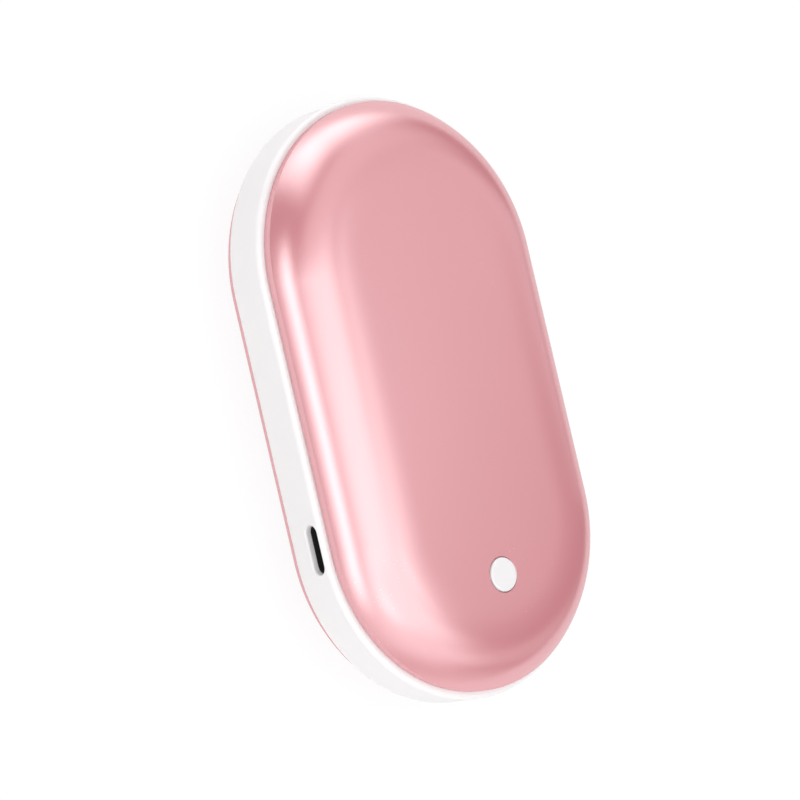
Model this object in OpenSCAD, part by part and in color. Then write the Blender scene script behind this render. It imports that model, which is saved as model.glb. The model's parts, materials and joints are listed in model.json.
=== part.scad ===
// Rechargeable hand warmer, pebble shaped: two drawn metal shells on a white band,
// with two cells, two film heaters, a control board, a charging port in the side
// and one push button in the front.
// Units are millimetres. The body lies on its rear shell: +Z is the front, +Y points
// away from the button, and the charging port faces -X. The origin is under the middle.

/* [Body] */
// Room from the cells' plus end to the tip of the body, where the board lies
plus_room = 28; // [25:0.5:34]
// Room from the cells' minus end to the other tip
minus_room = 15; // [13:0.5:20]
// Room from a cell's side to the outside of the band
side_room = 12.5; // [11:0.1:16]
// Height of the band, from the front seam to the rear seam
band_h = 8.4; // [7.6:0.1:10]
// How far the band stands out past the metal shells
band_proud = 1.3; // [1.1:0.1:2]
// Radius on the band's two outer edges
band_fillet = 0.9; // [0.3:0.1:1]
// How far the band's ledge reaches in past the shell's wall
ledge_in = 0.3; // [0.2:0.05:0.6]
// Height of the rib round the band's bore, which the two frames close on
rib_h = 2; // [1.8:0.1:2.4]
// How far the rib stands in from the bore
rib_in = 1.8; // [1.5:0.1:2.4]

/* [Shells] */
// Sheet thickness of the shells
shell_t = 0.8; // [0.6:0.05:1]
// Width of the rounded shoulder between the rim and the flat face
shoulder_w = 10.6; // [9:0.1:11]
// Height of the straight rim below the shoulder
rim_h = 0.8; // [0.5:0.1:1.2]
// How flat the shoulder runs into the face: higher is flatter
face_power = 2.4; // [2:0.1:3]
// How steep the shoulder leaves the rim: higher is steeper
rim_power = 1.26; // [1:0.02:1.6]

/* [Frames] */
// Wall of the plastic frames inside the shells
frame_t = 1.2; // [1:0.1:1.4]
// Thickness of the glue between a shell and its frame
glue_t = 0.2; // [0.1:0.05:0.3]
// Clearance between the frames and the band's bore
frame_gap = 0.1; // [0.05:0.05:0.2]
// Floor of a frame, between the heater and the cells
floor_t = 1; // [0.8:0.1:1]
// Width of the frame's rim round the heater pocket
pocket_rim = 0.7; // [0.5:0.1:1.5]

/* [Heaters] */
// Thickness of the heat-conducting tape on the shell
tape_t = 0.2; // [0.1:0.05:0.3]
// Thickness of the heater film
film_t = 0.3; // [0.2:0.05:0.4]
// Thickness of the foam behind the heater
foam_t = 0.8; // [0.6:0.1:1]
// Clearance between the heater and the edge of its pocket
film_gap = 0.4; // [0.2:0.1:0.8]
// Size across the holes that the leads pass through
lead_hole = 3.6; // [3.2:0.1:4.5]
// Width of foam left between a lead hole and the foam's edge
lead_edge = 1.2; // [0.8:0.1:2]
// Turn of the lead holes from the body's long axis, round the round end's centre
lead_turn = 53; // [46:1:58]

/* [Cells] */
// Diameter of a cell, over its sleeve
cell_d = 18.4; // [16.5:0.1:21]
// Length of a cell, with its button
cell_l = 65; // [50:0.5:75]
// Diameter of the cell's button contact
cell_nub_d = 5.6; // [5:0.1:8]
// Height of the cell's button contact
cell_nub_h = 0.8; // [0.5:0.1:1.2]
// Gap between the two cells
cell_gap = 0.2; // [0.1:0.1:0.6]
// Clearance between a cell and the floor of a frame
cell_room = 0.2; // [0.1:0.05:0.6]
// Clearance between a cell and its cradle
cradle_gap = 0.05; // [0.02:0.01:0.1]
// Thickness of the nickel strips
strip_t = 0.2; // [0.15:0.05:0.3]
// Width of the nickel strips
strip_w = 7; // [5:0.5:8]
// Thickness of the cradle ribs
cradle_t = 1.6; // [1.2:0.1:2.4]

/* [Board] */
// Thickness of the board
board_t = 1; // [0.8:0.1:1]
// Height of the board's top above the middle of the body
board_top = 0.1; // [0:0.05:0.1]
// Clearance between the board's edge and the rib
board_gap = 0.4; // [0.2:0.1:0.8]
// Gap between the cells and the board's edge
board_cell_gap = 1.4; // [1:0.1:1.6]

/* [Port] */
// Place of the port past the cells' plus end, towards the middle
port_room = 4.5; // [4:0.1:8]
// Length of the port's opening in the band
port_l = 8.5; // [8.4:0.05:8.7]
// Height of the port's opening in the band
port_h = 2.8; // [2.6:0.05:3]
// Wall of the band in front of the socket
port_lip = 1.2; // [0.9:0.1:1.2]
// Width of the metal socket
socket_w = 8.94; // [8.9:0.02:9.1]
// Height of the metal socket
socket_h = 3.26; // [3.2:0.02:3.3]
// Depth of the metal socket
socket_l = 7.35; // [6.8:0.05:7.6]
// Sheet thickness of the socket
socket_t = 0.3; // [0.2:0.05:0.3]

/* [Button] */
// Diameter of the button's face
button_d = 6; // [5:0.1:6.2]
// Place of the button, measured from the round end's centre towards the tip
button_y = 10.3; // [9.5:0.1:11]
// How far the button's face stands out of the shell
button_proud = 0.3; // [0.2:0.05:0.5]
// Clearance round the button in the shell's hole
button_gap = 0.15; // [0.1:0.05:0.2]
// How far the button travels
button_travel = 0.3; // [0.2:0.05:0.35]
// Diameter of the flange that keeps the button in
button_flange_d = 7.8; // [7.2:0.1:8]
// Thickness of the button's flange
button_flange_t = 0.8; // [0.6:0.05:0.8]
// Diameter of the button's stem
stem_d = 4; // [3.4:0.1:4]
// Radial clearance of the stem in its guide
stem_gap = 0.08; // [0.04:0.01:0.1]
// Width of the square switch under the button
switch_w = 6; // [5:0.1:6]
// Height of the switch without its plunger
switch_h = 3.5; // [3.2:0.1:3.6]
// How far the switch's plunger stands out
plunger_out = 0.9; // [0.7:0.1:1]
// Diameter of the switch's plunger
plunger_d = 3.4; // [3:0.1:3.5]

/* [Fasteners and leads] */
// Diameter of the four case screws
case_screw_d = 2; // [1.8:0.1:2.2]
// Length of a case screw under its head
case_screw_l = 14; // [12:0.5:15]
// Outer diameter of a case screw's boss
boss_d = 5.2; // [4.8:0.1:5.4]
// Distance from the cells' minus end to the middle of the two upper bosses
boss_room = 4.95; // [4.8:0.05:6]
// Sideways place of the two lower bosses
boss_x_lower = 16.5; // [16:0.1:17]
// Diameter of the two board screws
board_screw_d = 1.6; // [1.4:0.1:1.8]
// Length of a board screw under its head
board_screw_l = 5; // [4:0.5:6]
// Diameter of the two battery leads
battery_lead_d = 1.2; // [1:0.1:1.3]
// Diameter of the heater and sensor leads
thin_lead_d = 0.8; // [0.6:0.05:0.9]

/* [Hidden] */

shell_metal = "#DCA0A6";
band_white = "#F1EFEF";
frame_white = "#E4E2DE";
foam_grey = "#4A4C50";
film_amber = "#C98A3A";
tape_white = "#D9DDE2";
sleeve_blue = "#5E86B8";
nickel = "#B9B7B0";
steel = "#C4C6C8";
board_green = "#2F6B4A";
black_plastic = "#232427";
gold = "#D4AF5A";

round_fn = 96;
small_fn = 48;
shoulder_steps = 20;
fillet_steps = 4;
slot_steps = 8;
eps = 0.01;

// Levels, measured from the middle of the body: positive is towards the front
half_t = cell_d/2 + cell_room + floor_t + foam_t + film_t + tape_t + shell_t;
seam_z = band_h/2;
shell_h = half_t - seam_z;
inner_z = half_t - shell_t;
film_z = inner_z - tape_t;
foam_z = film_z - film_t;
floor_z = foam_z - foam_t;
cavity_z = floor_z - floor_t;
board_under = board_top - board_t;
port_z = board_top + socket_h/2;

// Cells, and the size of the body round them
cell_x = cell_d/2 + cell_gap/2;
cell_edge_x = cell_x + cell_d/2;
body_w = 2*(cell_edge_x + side_room);
body_l = cell_l + plus_room + minus_room;
plus_y = plus_room - body_l/2;
minus_y = plus_y + cell_l;
cradle_reach = 3.7;
stop_gap = 0.2;
stop_t = 1.2;

// Radii of the round ends
half_run = (body_l - body_w)/2;
band_r = body_w/2;
shell_r = band_r - band_proud;
face_r = shell_r - shoulder_w;
frame_inset = shell_t + glue_t;
bore_r = shell_r - shell_t - ledge_in;
rib_r = bore_r - rib_in;
skirt_r = bore_r - frame_gap;
pocket_r = face_r - pocket_rim;
film_r = pocket_r - film_gap;
board_r = rib_r - board_gap;

// Port, with the board's arm that carries the socket
board_edge_y = plus_y - board_cell_gap;
port_pos = plus_y + port_room;
mouth_x = -band_r + port_lip;
socket_gap = 0.14;
socket_clear = 0.4;
arm_side_gap = 1.1;
arm_x0 = -bore_r + 0.7;
arm_y1 = port_pos + socket_w/2 + 1.4;
arm_rib_gap = 0.3;

// Button and switch
button_pos = -half_run - button_y;
button_rest_gap = 0.05;
flange_top = inner_z - button_rest_gap;
flange_under = flange_top - button_flange_t;
stop_z = flange_under - button_travel - button_rest_gap;
switch_top = board_top + switch_h;
plunger_top = switch_top + plunger_out;
plunger_foot = 0.8;
cover_t = 0.2;
stem_foot_gap = 0.05;
guide_clear = 1;

// Screws
boss_reach = rib_r - 0.3 - boss_d/2;
boss_from_centre = band_r - minus_room + boss_room;
boss_x_upper = sqrt(boss_reach*boss_reach - boss_from_centre*boss_from_centre);
head_d = 1.8*case_screw_d;
head_h = 1.2;
head_clear = 0.2;
thread_gap = 0.03;
post_wall = 1.4;
board_head_d = 3.2;
board_head_h = 1;
board_screw_x = 7;
board_screw_edge = 3.7;

// Height of the shoulder over the middle of the body, at a radius, for a wall set in
function shoulder_z(r, inset) =
    let (x = min(1, max(0, (r - face_r)/(shoulder_w - inset))))
    seam_z + rim_h
        + (shell_h - inset - rim_h)*pow(1 - pow(x, face_power), 1/rim_power);

// The shoulder as [radius, height] points, from the rim up to the flat face
function shoulder(inset) = [for (i = [0:shoulder_steps])
    let (r = face_r + (shoulder_w - inset)*cos(90*i/shoulder_steps))
    [r, shoulder_z(r, inset)]];

function backwards(points) = [for (i = [len(points) - 1:-1:0]) points[i]];
function both_sides(points) = concat(points,
    [for (p = backwards(points)) if (p.x > eps) [-p.x, p.y]]);
function capped(points, z) = [for (p = points) [p.x, min(p.y, z)]];

// Outline of a slot with round ends, centred, its length along X
function slot_outline(l, h) = [for (side = [0, 1], i = [0:slot_steps])
    let (a = 180*side - 90 + 180*i/slot_steps)
    [(side == 0 ? 1 : -1)*(l - h)/2 + h/2*cos(a), h/2*sin(a)]];

// A place in a round end, from its sideways place and its distance from the end's centre
function end_place(x, reach, end) = [x, end*(half_run + sqrt(reach*reach - x*x))];
case_places = [for (side = [-1, 1]) each
    [end_place(side*boss_x_upper, boss_reach, 1), end_place(side*boss_x_lower, boss_reach, -1)]];
board_places = [for (side = [-1, 1])
    end_place(side*board_screw_x, board_r - board_screw_edge, -1)];
arm_rests = [for (shift = [-4, 4]) [(arm_x0 - cell_edge_x - arm_side_gap)/2, port_pos + shift]];
lead_reach = film_r - lead_edge - lead_hole/2;
lead_place = end_place(lead_reach*sin(lead_turn), lead_reach, -1);
sensor_place = end_place(-lead_reach*sin(lead_turn), lead_reach, -1);
cradle_places = [for (share = [0.12, 0.5, 0.88]) plus_y + cell_l*share];

// Head seat of a case screw: as deep as the head needs to stay inside the shell
seat_z = -(shoulder_z(boss_reach + head_d/2, shell_t) - head_clear - head_h);

// Parts on the board: their sizes, and the row past the switch
led_size = [1.6, 0.8, 0.6];
control_size = [5, 5, 0.9];
charge_size = [4, 3.4, 1.4];
heater_switch_size = [2.9, 1.3, 1.1];
inductor_size = [4.4, 4.4, 2.8];
capacitor_size = [2, 1.25, 1.2];
resistor_size = [1.6, 0.8, 0.45];
sensor_size = [1.8, 2.4, 0.7];
chip_x = 11.2;
chip_row = button_pos - 5.9;
chip_gap = 0.5;
capacitor_pitch = capacitor_size.y + 0.95;
heater_switch_row = 4.6;

// Lifts what is modelled round the middle of the body, facing the front or the rear
module at_front() translate([0, 0, half_t]) children();
module at_rear() translate([0, 0, half_t]) mirror([0, 0, 1]) children();

// A body with round ends, from a half section that reaches the axis
module domed_body(section) {
    for (turn = [0, 180])
        rotate([0, 0, turn]) translate([0, half_run, 0])
            rotate_extrude(angle = 180, $fn = round_fn) polygon(section);
    rotate([90, 0, 0]) linear_extrude(height = 2*half_run, center = true)
        polygon(both_sides(section));
}

// A ring with round ends, from a section that stays clear of the axis
module ring_body(section) {
    for (turn = [0, 180])
        rotate([0, 0, turn]) translate([0, half_run, 0])
            rotate_extrude(angle = 180, $fn = round_fn) polygon(section);
    for (side = [-1, 1])
        rotate([90, 0, 0]) linear_extrude(height = 2*half_run, center = true)
            polygon([for (p = section) [side*p.x, p.y]]);
}

// A flat layer with round ends, from one level down through its thickness
module layer(r, top, t) domed_body([[0, top - t], [r, top - t], [r, top], [0, top]]);

// An upright pin or hole at a place
module pin(place, d, z0, z1) {
    translate([place.x, place.y, z0]) cylinder(d = d, h = z1 - z0, $fn = small_fn);
}

// A slot or slotted bar that runs inwards from the band's outer side
module port_bar(l, h, x0, x1) {
    translate([x0, port_pos, port_z]) rotate([90, 0, 90])
        linear_extrude(height = x1 - x0) polygon(slot_outline(l, h));
}

// A box from its lowest corner to its highest
module block(low, high) translate(low) cube(high - low);

// A small board part: a box that stands on the board's top
module chip(place, size) {
    translate([place.x - size.x/2, place.y - size.y/2, board_top]) cube(size);
}

// Shells

module shell_sheet() {
    domed_body(concat([[0, inner_z]], backwards(shoulder(shell_t)),
        [[shell_r - shell_t, seam_z], [shell_r, seam_z]], shoulder(0), [[0, half_t]]));
}

module front_shell() {
    color(shell_metal) at_front() difference() {
        shell_sheet();
        pin([0, button_pos], button_d + 2*button_gap, inner_z - 1, half_t + 1);
    }
}

module rear_shell() color(shell_metal) at_rear() shell_sheet();

// Glue between a shell's shoulder and the frame
module glue_skin() {
    outer = shoulder(shell_t);
    inner = shoulder(frame_inset);
    ring_body(concat([[shell_r - frame_inset, seam_z], [shell_r - shell_t, seam_z]], outer,
        [[pocket_r, inner_z], [pocket_r, inner_z - glue_t]], backwards(inner)));
}

module front_glue() color(tape_white) at_front() glue_skin();
module rear_glue() color(tape_white) at_rear() glue_skin();

// Band

module band_ring() {
    edge = [for (i = [0:fillet_steps]) let (a = 90*i/fillet_steps)
        [band_r - band_fillet*(1 - cos(a)), seam_z - band_fillet*(1 - sin(a))]];
    upper = concat(edge, [[bore_r, seam_z], [bore_r, rib_h/2], [rib_r, rib_h/2]]);
    ring_body(concat(upper, [for (p = backwards(upper)) [p.x, -p.y]]));
}

module middle_band() {
    color(band_white) at_front() difference() {
        band_ring();
        port_bar(port_l, port_h, -band_r - 1, mouth_x + eps);
        port_bar(socket_w + 2*socket_gap, socket_h + 2*socket_gap, mouth_x, -rib_r + 1);
        block([arm_x0 - arm_rib_gap, board_edge_y - arm_rib_gap, -rib_h/2 - eps],
            [-rib_r + 1, arm_y1 + arm_rib_gap, rib_h/2 + eps]);
    }
}

// Frames

module frame_skin() {
    inner = shoulder(frame_inset + frame_t);
    domed_body(concat([[0, cavity_z]], capped(backwards(inner), cavity_z),
        [[shell_r - frame_inset - frame_t, seam_z], [skirt_r - frame_t, seam_z],
        [skirt_r - frame_t, rib_h/2], [skirt_r, rib_h/2], [skirt_r, seam_z],
        [shell_r - frame_inset, seam_z]], shoulder(frame_inset),
        [[pocket_r, inner_z - glue_t], [pocket_r, floor_z], [0, floor_z]]));
}

// What a frame's inner features are trimmed to: the space inside the middle of its wall
module frame_space() {
    inset = frame_inset + frame_t/2;
    domed_body(concat([[0, -half_t], [shell_r - inset, -half_t]], shoulder(inset),
        [[face_r, cavity_z + floor_t/2], [0, cavity_z + floor_t/2]]));
}

// Ribs that cradle the cells, and stops past the cells' ends
module cell_ribs() {
    for (y = cradle_places)
        block([-cell_edge_x, y - cradle_t/2, cavity_z - cradle_reach],
            [cell_edge_x, y + cradle_t/2, floor_z]);
    stop_x = cell_x + cell_nub_d/2;
    for (y = [minus_y + strip_t + stop_gap, plus_y - strip_t - stop_gap - stop_t])
        block([-stop_x, y, cavity_z - cradle_reach], [stop_x, y + stop_t, floor_z]);
}

module cell_space() {
    for (side = [-1, 1])
        translate([side*cell_x, plus_y, 0]) rotate([-90, 0, 0])
            cylinder(d = cell_d + 2*cradle_gap, h = cell_l, $fn = round_fn);
}

module front_frame() {
    ring_d = button_flange_d + 0.6;
    guide_d = stem_d + 2*stem_gap;
    pilot_top = seat_z + case_screw_l + 0.5;
    color(frame_white) at_front() difference() {
        union() {
            frame_skin();
            difference() {
                pin([0, button_pos], ring_d + 2, floor_z - eps, inner_z - glue_t/2);
                pin([0, button_pos], ring_d, floor_z, inner_z);
            }
            pin([0, button_pos], guide_d + 2.4, floor_z - eps, stop_z);
            intersection() {
                frame_space();
                union() {
                    cell_ribs();
                    pin([0, button_pos], guide_d + 2.4, plunger_top + guide_clear, floor_z);
                    for (p = case_places) pin(p, boss_d, 0, half_t);
                }
            }
        }
        cell_space();
        pin([0, button_pos], guide_d, 0, half_t);
        for (p = [lead_place, sensor_place]) pin(p, lead_hole, cavity_z - 1, floor_z + 1);
        for (p = case_places) pin(p, case_screw_d + 2*thread_gap, -1, pilot_top);
        block([-skirt_r - 1, port_pos - socket_w/2 - socket_clear, 0],
            [-rib_r + 2, port_pos + socket_w/2 + socket_clear, board_top + socket_h + socket_clear]);
    }
}

module rear_frame() {
    post_d = board_screw_d + 2*post_wall;
    color(frame_white) at_rear() difference() {
        union() {
            frame_skin();
            intersection() {
                frame_space();
                union() {
                    cell_ribs();
                    for (p = case_places) pin(p, boss_d, 0, half_t);
                    for (p = board_places) pin(p, post_d, -board_under, half_t);
                    for (p = arm_rests) pin(p, 3, -board_under, half_t);
                }
            }
        }
        cell_space();
        pin(lead_place, lead_hole, cavity_z - 1, floor_z + 1);
        for (p = board_places)
            pin(p, board_screw_d + 2*thread_gap, -1, -board_top + board_screw_l + 0.5);
        for (p = case_places) {
            pin(p, case_screw_d + 0.3, -1, half_t);
            pin(p, head_d + 0.4, -seat_z, half_t + 1);
        }
    }
}

// Heaters

module front_heater_tape() {
    color(tape_white) at_front() difference() {
        layer(film_r, inner_z, tape_t);
        pin([0, button_pos], button_flange_d + 3, film_z - 1, inner_z + 1);
    }
}

module rear_heater_tape() color(tape_white) at_rear() layer(film_r, inner_z, tape_t);

module front_heater() {
    color(film_amber) at_front() difference() {
        layer(film_r, film_z, film_t);
        pin([0, button_pos], button_flange_d + 3, foam_z - 1, film_z + 1);
    }
}

module rear_heater() color(film_amber) at_rear() layer(film_r, film_z, film_t);

module front_foam() {
    color(foam_grey) at_front() difference() {
        layer(film_r, foam_z, foam_t);
        pin([0, button_pos], button_flange_d + 3, floor_z - 1, foam_z + 1);
        for (p = [lead_place, sensor_place]) pin(p, lead_hole, floor_z - 1, foam_z + 1);
    }
}

module rear_foam() {
    color(foam_grey) at_rear() difference() {
        layer(film_r, foam_z, foam_t);
        pin(lead_place, lead_hole, floor_z - 1, foam_z + 1);
    }
}

// Cells

module cell(side) {
    round = 0.8;
    body = cell_l - cell_nub_h;
    r = cell_d/2;
    color(sleeve_blue) at_front() translate([side*cell_x, plus_y, 0]) rotate([-90, 0, 0])
        rotate_extrude($fn = round_fn) polygon([[0, 0], [cell_nub_d/2, 0],
            [cell_nub_d/2, cell_nub_h], [r - round, cell_nub_h], [r, cell_nub_h + round],
            [r, cell_nub_h + 3], [r - 0.3, cell_nub_h + 3.5], [r, cell_nub_h + 4],
            [r, cell_l - round], [r - round, cell_l], [0, cell_l]]);
}

module cell_left() cell(-1);
module cell_right() cell(1);

module plus_washers() {
    washer_t = cell_nub_h/4;
    color(tape_white) at_front() for (side = [-1, 1])
        translate([side*cell_x, plus_y + cell_nub_h - washer_t, 0]) rotate([-90, 0, 0])
            difference() {
                cylinder(d = cell_d - 1.8, h = washer_t, $fn = small_fn);
                translate([0, 0, -1]) cylinder(d = cell_nub_d + 1, h = 3, $fn = small_fn);
            }
}

module end_strip(y) {
    reach = cell_x + cell_nub_d/2;
    block([-reach, y, -strip_w/2], [reach, y + strip_t, strip_w/2]);
}

module plus_strip() color(nickel) at_front() end_strip(plus_y - strip_t);
module minus_strip() color(nickel) at_front() end_strip(minus_y);

// Board

module main_board() {
    arm_x1 = -cell_edge_x - arm_side_gap;
    color(board_green) at_front() difference() {
        union() {
            intersection() {
                pin([0, -half_run], 2*board_r, board_under, board_top);
                block([-board_r - 1, -half_run - board_r - 1, board_under - 1],
                    [board_r + 1, board_edge_y, board_top + 1]);
            }
            block([arm_x0, board_edge_y - eps, board_under], [arm_x1, arm_y1, board_top]);
        }
        for (p = case_places) pin(p, boss_d + 0.6, board_under - 1, board_top + 1);
        for (p = board_places) pin(p, board_screw_d + 0.3, board_under - 1, board_top + 1);
    }
}

module socket_shell() {
    color(steel) at_front() difference() {
        port_bar(socket_w, socket_h, mouth_x, mouth_x + socket_l);
        port_bar(socket_w - 2*socket_t, socket_h - 2*socket_t, mouth_x - 1, mouth_x + socket_l + 1);
    }
}

tongue_w = 6.7;
tongue_h = 0.7;
tongue_in = 0.9;
plug_depth = 5.4;

module socket_tongue() {
    color(black_plastic) at_front() {
        port_bar(socket_w - 2*socket_t, socket_h - 2*socket_t, mouth_x + plug_depth,
            mouth_x + socket_l);
        block([mouth_x + tongue_in, port_pos - tongue_w/2, port_z - tongue_h/2],
            [mouth_x + plug_depth + eps, port_pos + tongue_w/2, port_z + tongue_h/2]);
    }
}

module socket_contacts() {
    pitch = 0.5;
    strip = [3.4, 0.26, 0.06];
    color(gold) at_front() for (i = [-5.5:1:5.5], side = [0, 1])
        translate([mouth_x + tongue_in + 0.5, port_pos + i*pitch - strip.y/2,
            port_z + (side == 0 ? tongue_h/2 : -tongue_h/2 - strip.z)])
            cube(strip);
}

// Button and switch

module button_cap() {
    edge = 0.25;
    top = half_t + button_proud;
    foot = plunger_top + stem_foot_gap;
    r = button_d/2;
    color(band_white) at_front() translate([0, button_pos, 0]) rotate_extrude($fn = small_fn)
        polygon([[0, foot], [stem_d/2, foot], [stem_d/2, flange_under],
            [button_flange_d/2, flange_under], [button_flange_d/2, flange_top],
            [r, flange_top], [r, top - edge], [r - edge, top], [0, top]]);
}

module switch_square(z0, z1) {
    block([-switch_w/2, button_pos - switch_w/2, z0], [switch_w/2, button_pos + switch_w/2, z1]);
}

// Well in the switch, where the dome and the plunger's foot lie
well_d = plunger_d + 1.4;
well_z = board_top + 1;
foot_z = switch_top - cover_t - button_rest_gap - plunger_foot;

module switch_base() {
    color(black_plastic) at_front() difference() {
        switch_square(board_top, switch_top - cover_t);
        pin([0, button_pos], well_d, well_z, switch_top + 1);
    }
}

module switch_cover() {
    color(steel) at_front() difference() {
        switch_square(switch_top - cover_t, switch_top);
        pin([0, button_pos], plunger_d + 0.14, well_z, switch_top + 1);
    }
}

// Curved contact that the plunger stands on and pushes flat
module switch_dome() {
    sheet = 0.1;
    rise = foot_z - well_z;
    reach = well_d/2 - 0.1;
    steps = 8;
    upper = [for (i = [0:steps]) let (x = i/steps) [reach*x, well_z + sheet + (rise - sheet)*(1 - x*x)]];
    color(steel) at_front() translate([0, button_pos, 0]) rotate_extrude($fn = small_fn)
        polygon(concat(upper, [for (p = backwards(upper)) [p.x, p.y - sheet]]));
}

module switch_plunger() {
    color(black_plastic) at_front() translate([0, button_pos, 0]) rotate_extrude($fn = small_fn)
        polygon([[0, foot_z], [plunger_d/2 + 0.5, foot_z], [plunger_d/2 + 0.5, foot_z + plunger_foot],
            [plunger_d/2, foot_z + plunger_foot], [plunger_d/2, plunger_top], [0, plunger_top]]);
}

// Parts on the board

module status_leds() {
    out = switch_w/2 + led_size.x;
    color("#F4F1D8") at_front() for (shift = [[-out, 0], [out, 0], [0, -out]])
        chip([shift.x, button_pos + shift.y], led_size);
}

module control_chip() {
    color(black_plastic) at_front()
        chip([-cell_edge_x, board_edge_y - control_size.y/2 - 1.6], control_size);
}

module charge_chip() {
    place = [-chip_x, chip_row];
    pitch = 1.27;
    leg = [0.4, 0.8, 0.4];
    color(black_plastic) at_front() chip(place, charge_size);
    color(steel) at_front() for (i = [-1:1], side = [-1, 1])
        chip([place.x + i*pitch, place.y + side*(charge_size.y + leg.y)/2], leg);
}

module heater_switches() {
    first = cell_edge_x - 0.9;
    color(black_plastic) at_front() for (x = [first, first + heater_switch_size.x + 0.9])
        chip([x, board_edge_y - heater_switch_row], heater_switch_size);
}

module inductor() color("#3A3B3E") at_front() chip([chip_x, chip_row], inductor_size);

module capacitors() {
    pair_x = -chip_x + 2.1*capacitor_size.x;
    outer_x = chip_x + 0.4*capacitor_size.x;
    lower = chip_row - (inductor_size.y + capacitor_size.y)/2 - chip_gap;
    color("#B79A74") at_front()
        for (p = [[pair_x, board_edge_y - capacitor_pitch], [pair_x, board_edge_y - 2*capacitor_pitch],
            [-outer_x, lower], [outer_x, lower], [arm_rests[0].x, board_edge_y - capacitor_size.y]])
            chip(p, capacitor_size);
}

module resistors() {
    color(black_plastic) at_front()
        for (p = [[-3.4, 5.4], [-3.4, 7], [-3.4, 8.6], [3.4, 5.4], [3.4, 7], [0, 8]])
            chip([p.x, button_pos - p.y], resistor_size);
}

module thermistor() {
    color("#1E1E20") at_front()
        translate([sensor_place.x - sensor_size.x/2, sensor_place.y - sensor_size.y/2,
            foam_z - sensor_size.z])
            cube(sensor_size);
}

// Leads: one round tube swept along the points of its route

function unit(v) = v/norm(v);
function turned(n, t) = unit(n - (n*t)*t);
function ends_of(points, i) = [points[max(i - 1, 0)], points[min(i + 1, len(points) - 1)]];
function course(points) = [for (i = [0:len(points) - 1])
    let (e = ends_of(points, i)) unit(e[1] - e[0])];
// Eases from 0 to 1, and stays straight a little before and after
function eased(s) = let (c = min(1, max(0, 1.25*s - 0.125))) c*c*(3 - 2*c);

module lead(points, d, first_side, sides = 8) {
    t = course(points);
    last = len(points) - 1;
    across = [for (i = 0, n = turned(first_side, t[0]); i <= last;
        i = i + 1, n = i <= last ? turned(n, t[i]) : n) n];
    // Rings lie square to the route, so a straight end meets its terminal face to face
    ring = [for (i = [0:last], k = [0:sides - 1])
        let (a = 360*k/sides)
        points[i] + d/2*(cos(a)*across[i] + sin(a)*cross(t[i], across[i]))];
    walls = [for (i = [0:last - 1], k = [0:sides - 1])
        [i*sides + k, (i + 1)*sides + k, (i + 1)*sides + (k + 1)%sides, i*sides + (k + 1)%sides]];
    polyhedron(points = ring, convexity = 6,
        faces = concat([[for (k = [0:sides - 1]) k]], walls,
            [[for (k = [sides - 1:-1:0]) last*sides + k]]));
}

// A pair of thin leads from a level down to the board: they ease apart and aside
module lead_pair(place, z0, z1, spread, shift) {
    steps = 12;
    for (side = [-1, 1])
        lead([for (i = [0:steps]) let (s = i/steps)
            [place.x + side*(thin_lead_d/2 + 0.15 + spread*eased(s)), place.y + shift*eased(s),
                z0 + (z1 - z0)*s]], thin_lead_d, [1, 0, 0]);
}

module thermistor_leads() {
    color("#2B2B2E") at_front()
        lead_pair(sensor_place, foam_z - sensor_size.z, board_top, 0.4, -1);
}

module front_heater_leads() {
    color("#E9E6E0") at_front() lead_pair(lead_place, foam_z, board_top, 0.4, 1);
}

module rear_heater_leads() {
    color("#E9E6E0") at_rear() lead_pair(lead_place, foam_z, -board_under, 0.4, 1);
}

// From the plus strip, down to the board's top
module plus_lead() {
    x = 6.4;
    y0 = plus_y - strip_t;
    y1 = board_edge_y - 2;
    z0 = 2.4;
    bend = 1.6;
    steps = 6;
    arc = [for (i = [0:steps]) let (a = 90*i/steps)
        [x, y1 + bend*(1 - sin(a)), z0 - bend*(1 - cos(a))]];
    color("#C2332E") at_front()
        lead(concat([[x, y0, z0]], arc, [[x, y1, board_top]]), battery_lead_d, [1, 0, 0]);
}

// From the minus strip, round the corner of the cells and along them to the board's top
module minus_lead() {
    y0 = minus_y + strip_t;
    small = battery_lead_d/2 + 0.3;
    y_turn = y0 + small + 0.3;
    x0 = cell_x - 1;
    x1 = cell_edge_x + battery_lead_d/2 + 1.6;
    y_end = board_edge_y - 2.2;
    bend = 4.5;
    steps = 5;
    start = [for (i = [0:steps]) let (a = 90*i/steps)
        [x0 + small*(1 - cos(a)), y_turn - small*(1 - sin(a)), 0]];
    corner = [for (i = [0:steps]) let (a = 90*i/steps)
        [x1 - bend*(1 - sin(a)), y_turn - bend*(1 - cos(a)), 0]];
    rise = 1.9;
    climb = 12;
    drop = [for (i = [0:steps]) let (a = 90*i/steps)
        [x1, y_end + rise*(1 - sin(a)), board_top + 2*rise - rise*(1 - cos(a))]];
    lift = [for (i = [0:2*steps]) let (s = i/(2*steps))
        [x1, y_end + rise + climb*(1 - s), (board_top + 2*rise)*eased(s)]];
    color("#26272A") at_front()
        lead(concat([[x0, y0, 0]], start, corner, [[x1, 10, 0], [x1, 0, 0]], lift,
            [for (i = [1:steps]) drop[i]], [[x1, y_end, board_top]]),
            battery_lead_d, [0, 0, 1]);
}

// Screws

module screw(place, d, l, cap_d, cap_h, z) {
    translate([place.x, place.y, z]) difference() {
        rotate_extrude($fn = small_fn) polygon([[0, -l], [d/2 - 0.4, -l], [d/2, -l + 0.8],
            [d/2, 0], [cap_d/2, 0], [cap_d/2, 0.6*cap_h], [cap_d/2 - 0.4*cap_h, cap_h], [0, cap_h]]);
        for (turn = [0, 90]) rotate([0, 0, turn])
            translate([-0.3*cap_d, -0.08*cap_d, 0.45*cap_h]) cube([0.6*cap_d, 0.16*cap_d, cap_h]);
    }
}

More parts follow.
